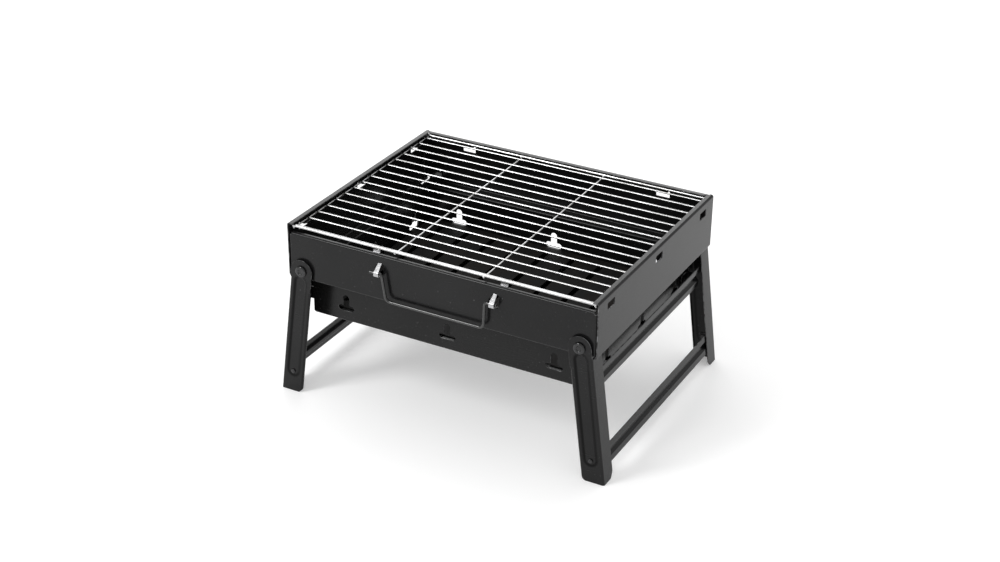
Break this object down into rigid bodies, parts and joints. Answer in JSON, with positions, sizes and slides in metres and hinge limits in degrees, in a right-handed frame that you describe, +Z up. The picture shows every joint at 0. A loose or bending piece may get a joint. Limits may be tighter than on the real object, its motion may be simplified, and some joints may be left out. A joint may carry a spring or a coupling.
{
  "type": "portable tabletop charcoal grill",
  "caption": "Folding tabletop charcoal grill: open steel frame on splayed legs that fold under it, ash pan, charcoal grate, wire cooking grate and a bail handle.",
  "frame": {"origin": "centre of the grill's footprint, on the surface that its feet stand on", "axes": "+X to the right along the front, +Y from the front to the rear, +Z up"},
  "size_m": [0.3792, 0.2892, 0.1965],
  "materials": {
    "black_paint": "semi-gloss black heat-resistant paint",
    "pan_paint": "satin black heat-resistant paint",
    "wire": "bright plated wire",
    "rivet": "blackened steel rivet, worn bright on its rim",
    "washer": "zinc-plated washer",
    "charcoal_plate": "matt black, heat-stained"
  },
  "bodies": {
    "frame": {"frame_front_panel": "black_paint", "frame_rear_panel": "black_paint", "frame_side_panel_right": "black_paint", "frame_side_panel_left": "black_paint", "pivot_rivet_rear_right": "rivet", "pivot_rivet_rear_left": "rivet", "pivot_rivet_front_right": "rivet", "pivot_rivet_front_left": "rivet", "pivot_spacer_rear_right": "washer", "pivot_spacer_rear_left": "washer", "pivot_spacer_front_right": "washer", "pivot_spacer_front_left": "washer"},
    "right_legs": {"leg_rear_right": "black_paint", "leg_front_right": "black_paint", "crossbar_right": "black_paint", "crossbar_rivet_rear_right": "rivet", "crossbar_rivet_front_right": "rivet"},
    "left_legs": {"leg_rear_left": "black_paint", "leg_front_left": "black_paint", "crossbar_left": "black_paint", "crossbar_rivet_rear_left": "rivet", "crossbar_rivet_front_left": "rivet"},
    "ash_pan": {"pan_front_wall": "pan_paint", "pan_rear_wall": "pan_paint", "pan_side_wall_right": "pan_paint", "pan_side_wall_left": "pan_paint", "pan_floor": "pan_paint", "pan_rail_right": "black_paint", "pan_rail_left": "black_paint", "rail_rivet_rear_right": "rivet", "rail_rivet_rear_left": "rivet", "rail_rivet_front_right": "rivet", "rail_rivet_front_left": "rivet"},
    "charcoal_grate": {"charcoal_grate": "charcoal_plate"},
    "cooking_grate": {"cooking_grate": "wire"},
    "bail_handle": {"bail_handle": "black_paint"}
  },
  "joints": [
    {"name": "right_legs_fold", "type": "hinge", "parent": "frame", "child": "right_legs", "pos_m": [0.1578, 0, 0.1465], "axis": [0, 1, 0], "range_deg": [0, 93]},
    {"name": "left_legs_fold", "type": "hinge", "parent": "frame", "child": "left_legs", "pos_m": [-0.1578, 0, 0.1465], "axis": [0, -1, 0], "range_deg": [0, 93]},
    {"name": "ash_pan_lift", "type": "slide", "parent": "frame", "child": "ash_pan", "axis": [0, 0, 1], "range_m": [0, 0.048]},
    {"name": "charcoal_grate_lift", "type": "slide", "parent": "ash_pan", "child": "charcoal_grate", "axis": [0, 0, 1], "range_m": [0, 0.1156]},
    {"name": "cooking_grate_slide", "type": "slide", "parent": "frame", "child": "cooking_grate", "axis": [0, -1, 0], "range_m": [0, 0.34]},
    {"name": "bail_swing", "type": "hinge", "parent": "frame", "child": "bail_handle", "pos_m": [0, -0.1428, 0.169], "axis": [-1, 0, 0], "range_deg": [0, 120]}
  ],
  "couplings": [
    {"joint": "left_legs_fold", "follows": "right_legs_fold", "ratio": 1},
    {"joint": "ash_pan_lift", "follows": "right_legs_fold", "m_per_rad": 0.02957},
    {"joint": "charcoal_grate_lift", "follows": "cooking_grate_slide", "ratio": 0.34}
  ]
}
